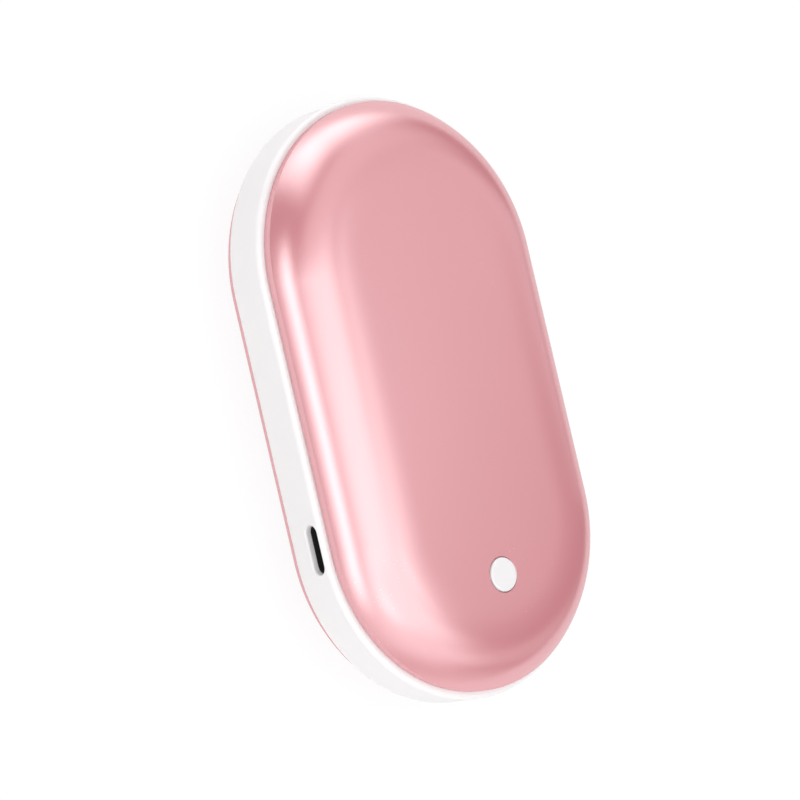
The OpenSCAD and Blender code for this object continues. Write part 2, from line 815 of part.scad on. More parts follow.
module board_screws() {
    color(steel) at_front() for (p = board_places)
        screw(p, board_screw_d, board_screw_l, board_head_d, board_head_h, board_top);
}

module case_screws() {
    color(steel) at_rear() for (p = case_places)
        screw(p, case_screw_d, case_screw_l, head_d, head_h, -seat_z);
}

front_shell();
rear_shell();
middle_band();
front_frame();
rear_frame();
front_glue();
rear_glue();
front_heater_tape();
rear_heater_tape();
front_heater();
rear_heater();
front_foam();
rear_foam();
cell_left();
cell_right();
plus_washers();
plus_strip();
minus_strip();
main_board();
socket_shell();
socket_tongue();
socket_contacts();
switch_base();
switch_cover();
switch_dome();
switch_plunger();
button_cap();
status_leds();
control_chip();
charge_chip();
heater_switches();
inductor();
capacitors();
resistors();
thermistor();
thermistor_leads();
front_heater_leads();
rear_heater_leads();
plus_lead();
minus_lead();
board_screws();
case_screws();
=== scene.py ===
import json
import math

import bmesh
import bpy
from mathutils import Matrix, Vector


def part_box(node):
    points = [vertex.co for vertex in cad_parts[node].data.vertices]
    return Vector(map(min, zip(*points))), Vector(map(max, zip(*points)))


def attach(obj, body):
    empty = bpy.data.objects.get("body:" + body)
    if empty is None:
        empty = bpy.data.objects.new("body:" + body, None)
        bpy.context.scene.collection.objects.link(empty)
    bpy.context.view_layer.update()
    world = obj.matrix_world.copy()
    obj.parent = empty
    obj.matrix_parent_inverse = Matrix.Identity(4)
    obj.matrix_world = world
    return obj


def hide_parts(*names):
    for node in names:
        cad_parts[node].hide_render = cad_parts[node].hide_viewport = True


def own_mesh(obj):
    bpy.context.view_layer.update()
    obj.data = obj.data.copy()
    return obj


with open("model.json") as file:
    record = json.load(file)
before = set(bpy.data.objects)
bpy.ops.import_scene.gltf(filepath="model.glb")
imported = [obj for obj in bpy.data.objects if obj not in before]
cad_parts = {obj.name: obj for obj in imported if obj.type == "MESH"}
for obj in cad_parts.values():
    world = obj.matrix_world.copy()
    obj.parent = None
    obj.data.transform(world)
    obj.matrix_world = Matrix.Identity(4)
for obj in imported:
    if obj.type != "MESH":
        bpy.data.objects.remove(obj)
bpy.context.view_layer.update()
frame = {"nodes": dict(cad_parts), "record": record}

MM = 0.001

# Sizes of the warmer in millimetres, as in the part's source; the shells' shoulder starts
# further in here, more gently, and ends on a taller straight rim, within 0.3 mm of the
# source's, so that no edge shows in the gloss but the crease above the rim does
HALF_T = 12.5
HALF_RUN = 23.0
BAND_R = 31.0
SEAM_Z = 4.2
SHELL_R = 29.7
FACE_R = 13.7
SHELL_T = 0.8
RIM_H = 1.7
FACE_POWER = 3.88
BORE_R = 28.6
RIB_R = 26.8
RIB_H = 2.0
BUTTON_Y = -33.3
BUTTON_R = 3.0
BUTTON_HOLE_R = 3.15
PORT_Y = -21.5
PORT_Z = 1.73
PORT_L = 8.5
PORT_H = 2.8
MOUTH_X = -29.8
SOCKET_L = 8.94
SOCKET_H = 3.26


# Node trees written as formulas

class Field:
    """A value inside a node tree: arithmetic on it adds the Math nodes that work it out."""

    def __init__(self, tree, socket):
        self.tree = tree
        self.socket = socket

    def work(self, operation, *values):
        node = self.tree.nodes.new("ShaderNodeMath")
        node.operation = operation
        for slot, value in zip(node.inputs, values):
            put(self.tree, slot, value)
        return Field(self.tree, node.outputs[0])

    def __add__(self, other):
        return self.work("ADD", self, other)

    def __sub__(self, other):
        return self.work("SUBTRACT", self, other)

    def __rsub__(self, other):
        return self.work("SUBTRACT", other, self)

    def __mul__(self, other):
        return self.work("MULTIPLY", self, other)

    def __rmul__(self, other):
        return self.work("MULTIPLY", other, self)

    def __truediv__(self, other):
        return self.work("DIVIDE", self, other)

    def __mod__(self, other):
        return self.work("MODULO", self, other)

    def __pow__(self, other):
        return self.work("POWER", self, other)

    def above(self, other):
        return self.work("GREATER_THAN", self, other)

    def clamped(self):
        low = self.work("MAXIMUM", self, 0.0)
        return low.work("MINIMUM", low, 1.0)

    def sin(self):
        return self.work("SINE", self)

    def cos(self):
        return self.work("COSINE", self)

    def rounded(self):
        return self.work("ROUND", self)

    def toward(self, other, share):
        """This value where share is 0, the other where it is 1."""
        return self + (other - self) * share


def put(tree, slot, value):
    if isinstance(value, Field):
        tree.links.new(value.socket, slot)
    elif isinstance(value, bpy.types.NodeSocket):
        tree.links.new(value, slot)
    else:
        slot.default_value = value


def add(tree, kind, values=None, **settings):
    """A new node with its settings and input values; returns the node."""
    node = tree.nodes.new(kind)
    for name, value in settings.items():
        setattr(node, name, value)
    for name, value in (values or {}).items():
        put(tree, node.inputs[name], value)
    return node


def new_shape_tree(name, sizes):
    """A Geometry Nodes tree with an input for each size, in millimetres, and for the finish."""
    tree = bpy.data.node_groups.new(name, "GeometryNodeTree")
    tree.is_modifier = True
    for label, value in sizes.items():
        socket = tree.interface.new_socket(label, in_out="INPUT", socket_type="NodeSocketFloat")
        socket.default_value = value
    tree.interface.new_socket("Finish", in_out="INPUT", socket_type="NodeSocketMaterial")
    tree.interface.new_socket("Geometry", in_out="OUTPUT", socket_type="NodeSocketGeometry")
    given = tree.nodes.new("NodeGroupInput")
    fields = {label: Field(tree, given.outputs[label]) for label in sizes}
    return tree, fields, given.outputs["Finish"]


def end_shape_tree(tree, geometry, finish):
    """Scales the millimetres to metres and ends the tree."""
    scaled = add(tree, "GeometryNodeTransform", {"Geometry": geometry, "Scale": (MM, MM, MM)})
    real = add(tree, "GeometryNodeRealizeInstances", {"Geometry": scaled.outputs["Geometry"]})
    dressed = add(tree, "GeometryNodeSetMaterial", {
        "Geometry": real.outputs["Geometry"], "Material": finish})
    end = tree.nodes.new("NodeGroupOutput")
    tree.links.new(dressed.outputs["Geometry"], end.inputs["Geometry"])


# Corners closer than this, in millimetres, are one
SAME_SPOT = 0.0005


def round_ended(tree, half_run, columns, rows, profile, swap_faces=True):
    """A body with two half-round ends along Y, closed over its middle line.

    profile gives, for the row's number, the distance from the middle line and the height.
    columns is the number of steps round each end.
    """
    around = 2 * (columns + 1)
    grid = add(tree, "GeometryNodeMeshGrid", {
        "Size X": 1.0, "Size Y": 1.0, "Vertices X": around + 1, "Vertices Y": rows})
    place = tree.nodes.new("GeometryNodeInputPosition")
    parts = add(tree, "ShaderNodeSeparateXYZ", {"Vector": place.outputs[0]})
    step = ((Field(tree, parts.outputs[0]) + 0.5) * around).rounded() % around
    row = ((Field(tree, parts.outputs[1]) + 0.5) * (rows - 1)).rounded()
    far_end = step.above(columns + 0.5)
    angle = (step - far_end) * (math.pi / columns)
    reach, height = profile(row)
    spot = tree.nodes.new("ShaderNodeCombineXYZ")
    put(tree, spot.inputs[0], reach * angle.cos())
    put(tree, spot.inputs[1], reach * angle.sin() + half_run * (1 - 2 * far_end))
    put(tree, spot.inputs[2], height)
    moved = add(tree, "GeometryNodeSetPosition", {
        "Geometry": grid.outputs["Mesh"], "Position": spot.outputs[0]})
    merged = add(tree, "GeometryNodeMergeByDistance", {
        "Geometry": moved.outputs["Geometry"], "Distance": SAME_SPOT})
    if not swap_faces:
        return merged.outputs["Geometry"]
    flipped = add(tree, "GeometryNodeFlipFaces", {"Mesh": merged.outputs["Geometry"]})
    return flipped.outputs["Mesh"]


def cut_away(tree, body, *cutters):
    node = add(tree, "GeometryNodeMeshBoolean", operation="DIFFERENCE", solver="EXACT")
    tree.links.new(body, node.inputs["Mesh 1"])
    for cutter in cutters:
        tree.links.new(cutter, node.inputs["Mesh 2"])
    return node.outputs["Mesh"]


def placed(tree, geometry, offset=(0, 0, 0), turn=(0, 0, 0)):
    node = add(tree, "GeometryNodeTransform", {
        "Geometry": geometry, "Translation": offset, "Rotation": turn})
    return node.outputs["Geometry"]


def grown(name, tree, values, material):
    """Evaluates a shape tree once and keeps the result as a plain mesh object."""
    holder = bpy.data.objects.new(name, bpy.data.meshes.new(name))
    bpy.context.scene.collection.objects.link(holder)
    modifier = holder.modifiers.new("Shape", "NODES")
    modifier.node_group = tree
    for item in tree.interface.items_tree:
        if item.item_type == "SOCKET" and item.in_out == "INPUT":
            if item.name in values:
                modifier[item.identifier] = float(values[item.name])
            elif item.name == "Finish":
                modifier[item.identifier] = material
    bpy.context.view_layer.update()
    evaluated = holder.evaluated_get(bpy.context.evaluated_depsgraph_get())
    mesh = bpy.data.meshes.new_from_object(evaluated)
    holder.modifiers.clear()
    holder.data = mesh
    mesh.name = name
    return holder


def turned(name, section, steps, material):
    """A solid of revolution about Z, from (radius, height) points in millimetres."""
    mesh = bpy.data.meshes.new(name)
    shape = bmesh.new()
    points = [shape.verts.new((r * MM, 0, z * MM)) for r, z in section]
    edges = [shape.edges.new(pair) for pair in zip(points, points[1:])]
    bmesh.ops.spin(shape, geom=points + edges, cent=(0, 0, 0), axis=(0, 0, 1),
                   angle=2 * math.pi, steps=steps, use_merge=True)
    bmesh.ops.remove_doubles(shape, verts=shape.verts, dist=1e-7)
    bmesh.ops.recalc_face_normals(shape, faces=shape.faces)
    shape.to_mesh(mesh)
    shape.free()
    mesh.materials.append(material)
    piece = bpy.data.objects.new(name, mesh)
    bpy.context.scene.collection.objects.link(piece)
    return piece


# Edges that turn by more than this, in degrees, stay sharp
SHARP = 40
SHELL_SHARP = 14


def smooth_by_area(piece, sharp_degrees=SHARP):
    """Smooth shading that keeps flat faces flat beside their rounded edges."""
    mesh = piece.data
    mesh.shade_smooth()
    mesh.set_sharp_from_angle(angle=math.radians(sharp_degrees))
    weighted = piece.modifiers.new("Flat faces first", "WEIGHTED_NORMAL")
    weighted.keep_sharp = True
    weighted.weight = 50
    bpy.context.view_layer.update()
    evaluated = piece.evaluated_get(bpy.context.evaluated_depsgraph_get())
    result = bpy.data.meshes.new_from_object(evaluated)
    piece.modifiers.clear()
    piece.data = result
    result.name = piece.name


# Shader groups that several finishes share

def new_shader_group(name, inputs, outputs):
    """A shader group; inputs are name: (kind, start value), outputs are name: kind."""
    tree = bpy.data.node_groups.new(name, "ShaderNodeTree")
    for label, (kind, value) in inputs.items():
        socket = tree.interface.new_socket(label, in_out="INPUT", socket_type="NodeSocket" + kind)
        socket.default_value = value
    for label, kind in outputs.items():
        tree.interface.new_socket(label, in_out="OUTPUT", socket_type="NodeSocket" + kind)
    given = tree.nodes.new("NodeGroupInput")
    taken = tree.nodes.new("NodeGroupOutput")
    return tree, given.outputs, taken.inputs


def object_place(tree, stretch=(1, 1, 1)):
    """Object coordinates, pressed or stretched along the axes."""
    coordinates = tree.nodes.new("ShaderNodeTexCoord")
    mapping = add(tree, "ShaderNodeMapping", {
        "Vector": coordinates.outputs["Object"], "Scale": stretch})
    return mapping.outputs["Vector"]


def noise(tree, place, scale, detail):
    node = add(tree, "ShaderNodeTexNoise", {"Vector": place, "Scale": scale, "Detail": detail})
    return Field(tree, node.outputs["Fac"])


# Broad patches under the fine grain: how many to the metre, and their share of its spread
BROAD_PATCHES = 60.0
BROAD_SHARE = 0.6
# How far the lines of rolled sheet are drawn out along Y
LINE_STRETCH = 0.06


def make_grain_group():
    """Fine even grain: a roughness that varies a little and a height for the bump."""
    tree, given, taken = new_shader_group(
        "Fine grain",
        {"Grains per metre": ("Float", 3000.0), "Roughness": ("Float", 0.4),
         "Spread": ("Float", 0.1)},
        {"Roughness": "Float", "Height": "Float"})
    place = object_place(tree)
    grain = noise(tree, place, given["Grains per metre"], detail=1.0)
    broad = noise(tree, place, BROAD_PATCHES, detail=2.0)
    uneven = (grain - 0.5) + (broad - 0.5) * BROAD_SHARE
    put(tree, taken["Roughness"],
        Field(tree, given["Roughness"]) + uneven * Field(tree, given["Spread"]))
    put(tree, taken["Height"], grain)
    return tree


def make_brushed_group():
    """Fine lines along Y, as on rolled or brushed sheet."""
    tree, given, taken = new_shader_group(
        "Rolled lines",
        {"Lines per metre": ("Float", 4000.0), "Roughness": ("Float", 0.35),
         "Spread": ("Float", 0.12)},
        {"Roughness": "Float", "Height": "Float"})
    place = object_place(tree, (1, LINE_STRETCH, 1))
    lines = noise(tree, place, given["Lines per metre"], detail=2.0)
    put(tree, taken["Roughness"],
        Field(tree, given["Roughness"]) + (lines - 0.5) * Field(tree, given["Spread"]))
    put(tree, taken["Height"], lines)
    return tree


def make_drift_group():
    """A colour that drifts a little lighter and darker over the surface."""
    tree, given, taken = new_shader_group(
        "Colour drift",
        {"Colour": ("Color", (0.5, 0.5, 0.5, 1)), "Depth": ("Float", 0.06),
         "Patches per metre": ("Float", 90.0)},
        {"Colour": "Color"})
    patches = noise(tree, object_place(tree), given["Patches per metre"], detail=3.0)
    level = (patches - 0.5) * Field(tree, given["Depth"]) * 2 + 1
    shaded = add(tree, "ShaderNodeVectorMath", {0: given["Colour"]}, operation="SCALE")
    put(tree, shaded.inputs["Scale"], level)
    tree.links.new(shaded.outputs[0], taken["Colour"])
    return tree


GRAIN = make_grain_group()
BRUSHED = make_brushed_group()
DRIFT = make_drift_group()


# Finishes

def new_material(name, **constants):
    """A material with one Principled shader; constants are set on its own sockets."""
    material = bpy.data.materials.new(name)
    material.use_nodes = True
    tree = material.node_tree
    tree.nodes.clear()
    shader = tree.nodes.new("ShaderNodeBsdfPrincipled")
    end = tree.nodes.new("ShaderNodeOutputMaterial")
    tree.links.new(shader.outputs[0], end.inputs["Surface"])
    for label, value in constants.items():
        shader.inputs[label.replace("_", " ")].default_value = value
    return material, tree, shader


def drifting(tree, shader, colour, depth=0.06, patches=90.0):
    node = add(tree, "ShaderNodeGroup", node_tree=DRIFT)
    node.inputs["Colour"].default_value = (*colour, 1)
    node.inputs["Depth"].default_value = depth
    node.inputs["Patches per metre"].default_value = patches
    tree.links.new(node.outputs["Colour"], shader.inputs["Base Color"])


def textured(tree, shader, group, fineness, roughness, spread, bump, strength=1.0):
    """Roughness and bump from one of the shared groups; bump is in metres."""
    node = add(tree, "ShaderNodeGroup", node_tree=group)
    node.inputs[0].default_value = fineness
    node.inputs["Roughness"].default_value = roughness
    node.inputs["Spread"].default_value = spread
    tree.links.new(node.outputs["Roughness"], shader.inputs["Roughness"])
    relief = add(tree, "ShaderNodeBump", {
        "Strength": strength, "Distance": bump, "Height": node.outputs["Height"]})
    tree.links.new(relief.outputs["Normal"], shader.inputs["Normal"])


def rose_anodised():
    """Satin aluminium, dyed rose: a tinted base under a strong gloss without colour.

    It is mostly not a metallic shader, because the photograph's highlights are nearly white.
    """
    material, tree, shader = new_material("rose_metal", Metallic=0.1, IOR=3.7)
    drifting(tree, shader, (0.65, 0.185, 0.217), depth=0.015, patches=50.0)
    textured(tree, shader, GRAIN, 4600.0, 0.255, 0.05, 0.000003, strength=0.35)
    return material


def moulded(name, colour, roughness, grain=2500.0, bump=0.000004, depth=0.04, **constants):
    """Moulded plastic or ceramic with a fine mould texture."""
    material, tree, shader = new_material(name, **constants)
    drifting(tree, shader, colour, depth=depth)
    textured(tree, shader, GRAIN, grain, roughness, 0.1, bump)
    return material


def sheet_metal(name, colour, roughness, lines=5000.0, bump=0.000002):
    """Rolled or plated metal."""
    material, tree, shader = new_material(name, Metallic=0.9)
    drifting(tree, shader, colour, depth=0.05, patches=220.0)
    textured(tree, shader, BRUSHED, lines, roughness, 0.12, bump)
    return material


FINISHES = {
    "rose_metal": rose_anodised(),
    "white_band": moulded("white_band", (0.81, 0.79, 0.795), 0.32, grain=3500.0,
                          bump=0.000001, depth=0.012),
    "white_button": moulded("white_button", (0.75, 0.735, 0.74), 0.32, grain=3500.0,
                            bump=0.000001, depth=0.012),
    "frame_plastic": moulded("frame_plastic", (0.70, 0.69, 0.66), 0.6),
    "glue": moulded("glue", (0.62, 0.65, 0.68), 0.35, grain=400.0, bump=0.00003, depth=0.1),
    "heat_tape": moulded("heat_tape", (0.55, 0.60, 0.66), 0.75, grain=1500.0, bump=0.00001),
    "heater_film": moulded("heater_film", (0.52, 0.20, 0.035), 0.3, grain=900.0,
                           bump=0.000004, depth=0.08),
    "foam": moulded("foam", (0.045, 0.048, 0.052), 0.95, grain=1800.0, bump=0.00012, depth=0.2),
    "cell": moulded("cell", (0.05, 0.14, 0.36), 0.35, grain=700.0, bump=0.00001, depth=0.06),
    "washer": moulded("washer", (0.66, 0.63, 0.55), 0.9, grain=1600.0, bump=0.00002, depth=0.1),
    "nickel": sheet_metal("nickel", (0.60, 0.57, 0.51), 0.34),
    "board": moulded("board", (0.012, 0.13, 0.06), 0.35, grain=1200.0, bump=0.000006, depth=0.12),
    "socket_steel": sheet_metal("socket_steel", (0.10, 0.10, 0.105), 0.5),
    "black_plastic": moulded("black_plastic", (0.012, 0.012, 0.013), 0.5),
    "gold": sheet_metal("gold", (0.80, 0.52, 0.16), 0.28),
    "switch_steel": sheet_metal("switch_steel", (0.56, 0.56, 0.56), 0.36),
    "led": moulded("led", (0.80, 0.76, 0.42), 0.2, grain=900.0, bump=0.000002),
    "chip_black": moulded("chip_black", (0.016, 0.016, 0.018), 0.62, grain=5200.0, bump=0.000008),
    "ferrite": moulded("ferrite", (0.035, 0.035, 0.04), 0.7, grain=4200.0, bump=0.00001,
                       depth=0.15),
    "ceramic": moulded("ceramic", (0.30, 0.17, 0.075), 0.45, grain=3000.0, bump=0.000005,
                       depth=0.1),
    "wire_red": moulded("wire_red", (0.42, 0.012, 0.012), 0.5, grain=1400.0, bump=0.000006),
    "wire_black": moulded("wire_black", (0.012, 0.012, 0.012), 0.5, grain=1400.0, bump=0.000006),
    "wire_white": moulded("wire_white", (0.66, 0.64, 0.60), 0.5, grain=1400.0, bump=0.000006),
    "screw_steel": sheet_metal("screw_steel", (0.50, 0.50, 0.52), 0.3),
}

slot_of_node = {row["node"]: row["material_slot"] for row in frame["record"]["subparts"]}
for node_name, node_object in frame["nodes"].items():
    node_object.data.materials.clear()
    node_object.data.materials.append(FINISHES[slot_of_node[node_name]])


# Metal shells: a flat face, a rounded shoulder that steepens to a straight rim, and the
# same form again one wall inside it

SHOULDER_STEPS = 64
END_STEPS = 72
HOLE_STEPS = 8
HOLE_AROUND = 48
# How far round the hole's edge is rounded, and where the flat face's inner ring lies
HOLE_EDGE_TURN = math.radians(72)
INNER_RING = 0.6


def make_shell_tree():
    tree, size, finish = new_shape_tree("Drawn shell", {
        "Half run": HALF_RUN, "Face radius": FACE_R, "Outer radius": SHELL_R,
        "Seam height": SEAM_Z, "Top height": HALF_T, "Rim height": RIM_H, "Wall": SHELL_T,
        "Edge radius": 0.14, "Seam gap": 0.1, "Face power": FACE_POWER, "Side": 1.0,
        "Hole place": BUTTON_Y, "Hole radius": BUTTON_HOLE_R, "Hole edge": 0.16,
        "Hole cut": 1.0})
    last = SHOULDER_STEPS + 4
    rows = 2 * (last + 1)

    def profile(row):
        inner = row.above(last + 0.5)
        k = row.toward(rows - 1 - row, inner)
        inset = size["Wall"] * inner
        x = (((k - 2) / SHOULDER_STEPS).clamped() * (math.pi / 2)).sin()
        width = size["Outer radius"] - size["Face radius"] - inset
        on_face = (k * INNER_RING).clamped()
        edge_in = size["Edge radius"] * k.above(last - 0.5) * (1 - 2 * inner)
        reach = size["Face radius"] * on_face + width * x - edge_in
        rise = size["Top height"] - size["Seam height"] - size["Rim height"] - inset
        curve = (1 - x ** size["Face power"]).clamped()
        shoulder = size["Seam height"] + size["Rim height"] + rise * curve
        edge_up = size["Edge radius"] * (1 - k.above(last - 0.5))
        low = size["Seam height"] + size["Seam gap"] + edge_up
        return reach, shoulder.toward(low, k.above(last - 1.5))

    shell = round_ended(tree, size["Half run"], END_STEPS, rows, profile)

    def hole_profile(row):
        # The cutter flares and rises past the face, and starts well under it
        flare, clear, past, under = 0.05, 0.01, 1.0, 3.0
        turn = ((row - 2) / HOLE_STEPS).clamped() * HOLE_EDGE_TURN
        edge = size["Hole edge"]
        over = row.above(HOLE_STEPS + 2.5)
        inside = row.above(0.5) * (1 - row.above(HOLE_STEPS + 3.5))
        reach = (size["Hole radius"] + edge * (1 - turn.cos()) + flare * over) * inside
        crest = size["Top height"] + clear - edge * math.sin(HOLE_EDGE_TURN)
        height = (crest + edge * turn.sin() + past * over).toward(
            size["Top height"] - under, 1 - row.above(1.5))
        return reach, height

    cutter = round_ended(tree, 0.0, HOLE_AROUND, HOLE_STEPS + 5, hole_profile,
                         swap_faces=False)
    spot = add(tree, "ShaderNodeCombineXYZ", {1: size["Hole place"].socket})
    cutter = placed(tree, cutter, spot.outputs[0])
    holed = cut_away(tree, shell, cutter)
    chosen = add(tree, "GeometryNodeSwitch", input_type="GEOMETRY")
    put(tree, chosen.inputs["Switch"], size["Hole cut"].above(0.5))
    put(tree, chosen.inputs["False"], shell)
    put(tree, chosen.inputs["True"], holed)

    # Side -1 turns the rear shell half a turn about Y; both go up by half the thickness
    place = tree.nodes.new("GeometryNodeInputPosition")
    parts = add(tree, "ShaderNodeSeparateXYZ", {"Vector": place.outputs[0]})
    spot = tree.nodes.new("ShaderNodeCombineXYZ")
    put(tree, spot.inputs[0], Field(tree, parts.outputs[0]) * size["Side"])
    put(tree, spot.inputs[1], parts.outputs[1])
    put(tree, spot.inputs[2], Field(tree, parts.outputs[2]) * size["Side"] + size["Top height"])
    moved = add(tree, "GeometryNodeSetPosition", {
        "Geometry": chosen.outputs[0], "Position": spot.outputs[0]})
    end_shape_tree(tree, moved.outputs["Geometry"], finish)
    return tree


shell_tree = make_shell_tree()
for shell_name, side in (("front_shell", 1), ("rear_shell", -1)):
    shell = grown("drawn_" + shell_name, shell_tree,
                  {"Side": side, "Hole cut": 1 if side > 0 else 0}, FINISHES["rose_metal"])
    smooth_by_area(shell, SHELL_SHARP)
    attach(shell, "housing")
    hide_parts(shell_name)


# White band between the shells, with the slot of the charging port

FILLET_STEPS = 10
MOUTH_STEPS = 6
MOUTH_AROUND = 24
MOUTH_EDGE_TURN = math.radians(78)
# Room round the socket, and the notch in the inner rib that the board's edge sits in
SOCKET_ROOM = 0.14
NOTCH_SIZE = (3.6, 17.2, RIB_H + 0.02)
NOTCH_PLACE = (-27.4, -19.1, 0.0)


def make_band_tree():
    tree, size, finish = new_shape_tree("Middle band", {
        "Half run": HALF_RUN, "Outer radius": BAND_R, "Seam height": SEAM_Z, "Fillet": 0.9,
        "Bore radius": BORE_R, "Rib radius": RIB_R, "Rib height": RIB_H,
        "Port place": PORT_Y, "Port height": PORT_Z, "Slot length": PORT_L,
        "Slot width": PORT_H, "Mouth edge": 0.45, "Mouth depth": MOUTH_X,
        "Socket length": SOCKET_L + 2 * SOCKET_ROOM, "Socket width": SOCKET_H + 2 * SOCKET_ROOM})
    half = FILLET_STEPS + 4
    rows = 2 * half + 1

    def profile(row):
        k = row % (2 * half)
        lower = k.above(half - 0.5)
        m = k.toward(2 * half - 1 - k, lower)
        turn = (m / FILLET_STEPS).clamped() * (math.pi / 2)
        fillet = size["Fillet"]
        reach = size["Outer radius"] - fillet * (1 - turn.cos())
        height = size["Seam height"] - fillet * (1 - turn.sin())
        reach = reach.toward(size["Bore radius"], m.above(FILLET_STEPS + 0.5))
        reach = reach.toward(size["Rib radius"], m.above(FILLET_STEPS + 2.5))
        height = height.toward(size["Rib height"] * 0.5, m.above(FILLET_STEPS + 1.5))
        return reach, height * (1 - 2 * lower)

    band = round_ended(tree, size["Half run"], END_STEPS, rows, profile, swap_faces=False)

    def slot_profile(row):
        """Height runs along the slot's axis: 0 is the middle of the body, positive is out."""
        # The cutter flares and rises past the band's side, and starts behind the mouth
        flare, clear, past, behind = 0.6, 0.005, 2.0, 0.5
        turn = ((row - 2) / MOUTH_STEPS).clamped() * MOUTH_EDGE_TURN
        edge = size["Mouth edge"]
        over = row.above(MOUTH_STEPS + 2.5)
        inside = row.above(0.5) * (1 - row.above(MOUTH_STEPS + 3.5))
        reach = (size["Slot width"] * 0.5 + edge * (1 - turn.cos()) + flare * over) * inside
        crest = size["Outer radius"] + clear - edge * math.sin(MOUTH_EDGE_TURN)
        height = (crest + edge * turn.sin() + past * over).toward(
            0 - size["Mouth depth"] - behind, 1 - row.above(1.5))
        return reach, height

    def cavity_profile(row):
        inside = row.above(0.5) * (1 - row.above(2.5))
        start = size["Rib radius"] - 1
        height = start + (0 - size["Mouth depth"] - size["Rib radius"] + 1) * row.above(1.5)
        return size["Socket width"] * 0.5 * inside, height

    slot_run = (size["Slot length"] - size["Slot width"]) * 0.5
    slot = round_ended(tree, slot_run, MOUTH_AROUND, MOUTH_STEPS + 5, slot_profile,
                       swap_faces=False)
    cavity_run = (size["Socket length"] - size["Socket width"]) * 0.5
    cavity = round_ended(tree, cavity_run, MOUTH_AROUND, 4, cavity_profile, swap_faces=False)
    spot = add(tree, "ShaderNodeCombineXYZ", {
        1: size["Port place"].socket, 2: size["Port height"].socket})
    faced = (0, -math.pi / 2, 0)
    slot = placed(tree, slot, spot.outputs[0], faced)
    cavity = placed(tree, cavity, spot.outputs[0], faced)
    notch = add(tree, "GeometryNodeMeshCube", {"Size": NOTCH_SIZE})
    notch = placed(tree, notch.outputs["Mesh"], NOTCH_PLACE)
    cut = cut_away(tree, band, slot, cavity, notch)
    lifted = placed(tree, cut, (0, 0, HALF_T))
    end_shape_tree(tree, lifted, finish)
    return tree


band = grown("moulded_band", make_band_tree(), {}, FINISHES["white_band"])
smooth_by_area(band)
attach(band, "housing")
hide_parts("middle_band")


# Push button, turned from its half section

CAP_AROUND = 96
CAP_ROUND_STEPS = 8
CAP_ROUND = 0.35
# The dish in the cap's top
DISH_R = 1.8
DISH_EDGE = 0.02
DISH_DEPTH = 0.05
# The stem under the cap, and the flange that holds it behind the shell
STEM_R = 2.0
FLANGE_GAP = 0.05
FLANGE_T = 0.8
BEVEL = 0.1

cap_low, cap_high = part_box("button_cap")
cap_top = cap_high.z / MM
cap_foot = cap_low.z / MM
flange_r = (cap_high.x - cap_low.x) / MM / 2
flange_top = HALF_T * 2 - SHELL_T - FLANGE_GAP
flange_under = flange_top - FLANGE_T
rounded_edge = [(BUTTON_R - CAP_ROUND * (1 - math.cos(a)), cap_top - CAP_ROUND * (1 - math.sin(a)))
                for a in (math.radians(90 * i / CAP_ROUND_STEPS)
                          for i in range(CAP_ROUND_STEPS + 1))]
cap = turned("button_cap_turned", [
    (0, cap_foot), (STEM_R - BEVEL, cap_foot), (STEM_R, cap_foot + BEVEL),
    (STEM_R, flange_under), (flange_r - BEVEL, flange_under), (flange_r, flange_under + BEVEL),
    (flange_r, flange_top - BEVEL), (flange_r - BEVEL, flange_top), (BUTTON_R, flange_top),
    *rounded_edge, (DISH_R, cap_top - DISH_EDGE), (0, cap_top - DISH_DEPTH)],
    CAP_AROUND, FINISHES["white_button"])
cap.data.transform(Matrix.Translation((0, BUTTON_Y * MM, 0)))
smooth_by_area(cap)
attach(cap, "button")
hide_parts("button_cap")


# Contact dome of the switch, which the plunger presses flat in use; it is drawn here at rest, and
# the travel that is read is not applied to it

DOME_SHEET = 0.1
DOME_STEPS = 12
DOME_AROUND = 64

dome_low, dome_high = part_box("switch_dome")
dome_r = (dome_high.x - dome_low.x) / MM / 2
dome_foot = dome_low.z / MM
dome_rise = (dome_high.z - dome_low.z) / MM
dome_top = [(dome_r * share,
             dome_foot + DOME_SHEET + (dome_rise - DOME_SHEET) * (1 - share ** 2))
            for share in (i / DOME_STEPS for i in range(DOME_STEPS + 1))]
dome_under = [(r, z - DOME_SHEET) for r, z in reversed(dome_top)]
dome = turned("contact_dome", dome_top + dome_under, DOME_AROUND, FINISHES["switch_steel"])
dome.data.transform(Matrix.Translation((0, BUTTON_Y * MM, 0)))
smooth_by_area(dome)
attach(dome, "housing")
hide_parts("switch_dome")
travel = next(joint["range_m"][1] for joint in frame["record"]["behaviour"]["joints"]
              if joint["name"] == "plunger_press")
1 - travel / (dome_high.z - dome_low.z)
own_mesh(dome)


# Floor: white to the eye and in reflections, with the soft shadow of the warmer on it

# Half the floor's width in metres, how far it lies under the warmer in millimetres, and
# the part of its shown colour that is plain white
FLOOR_HALF = 4.0
FLOOR_DROP = 0.05
WHITE_SHARE = 0.9


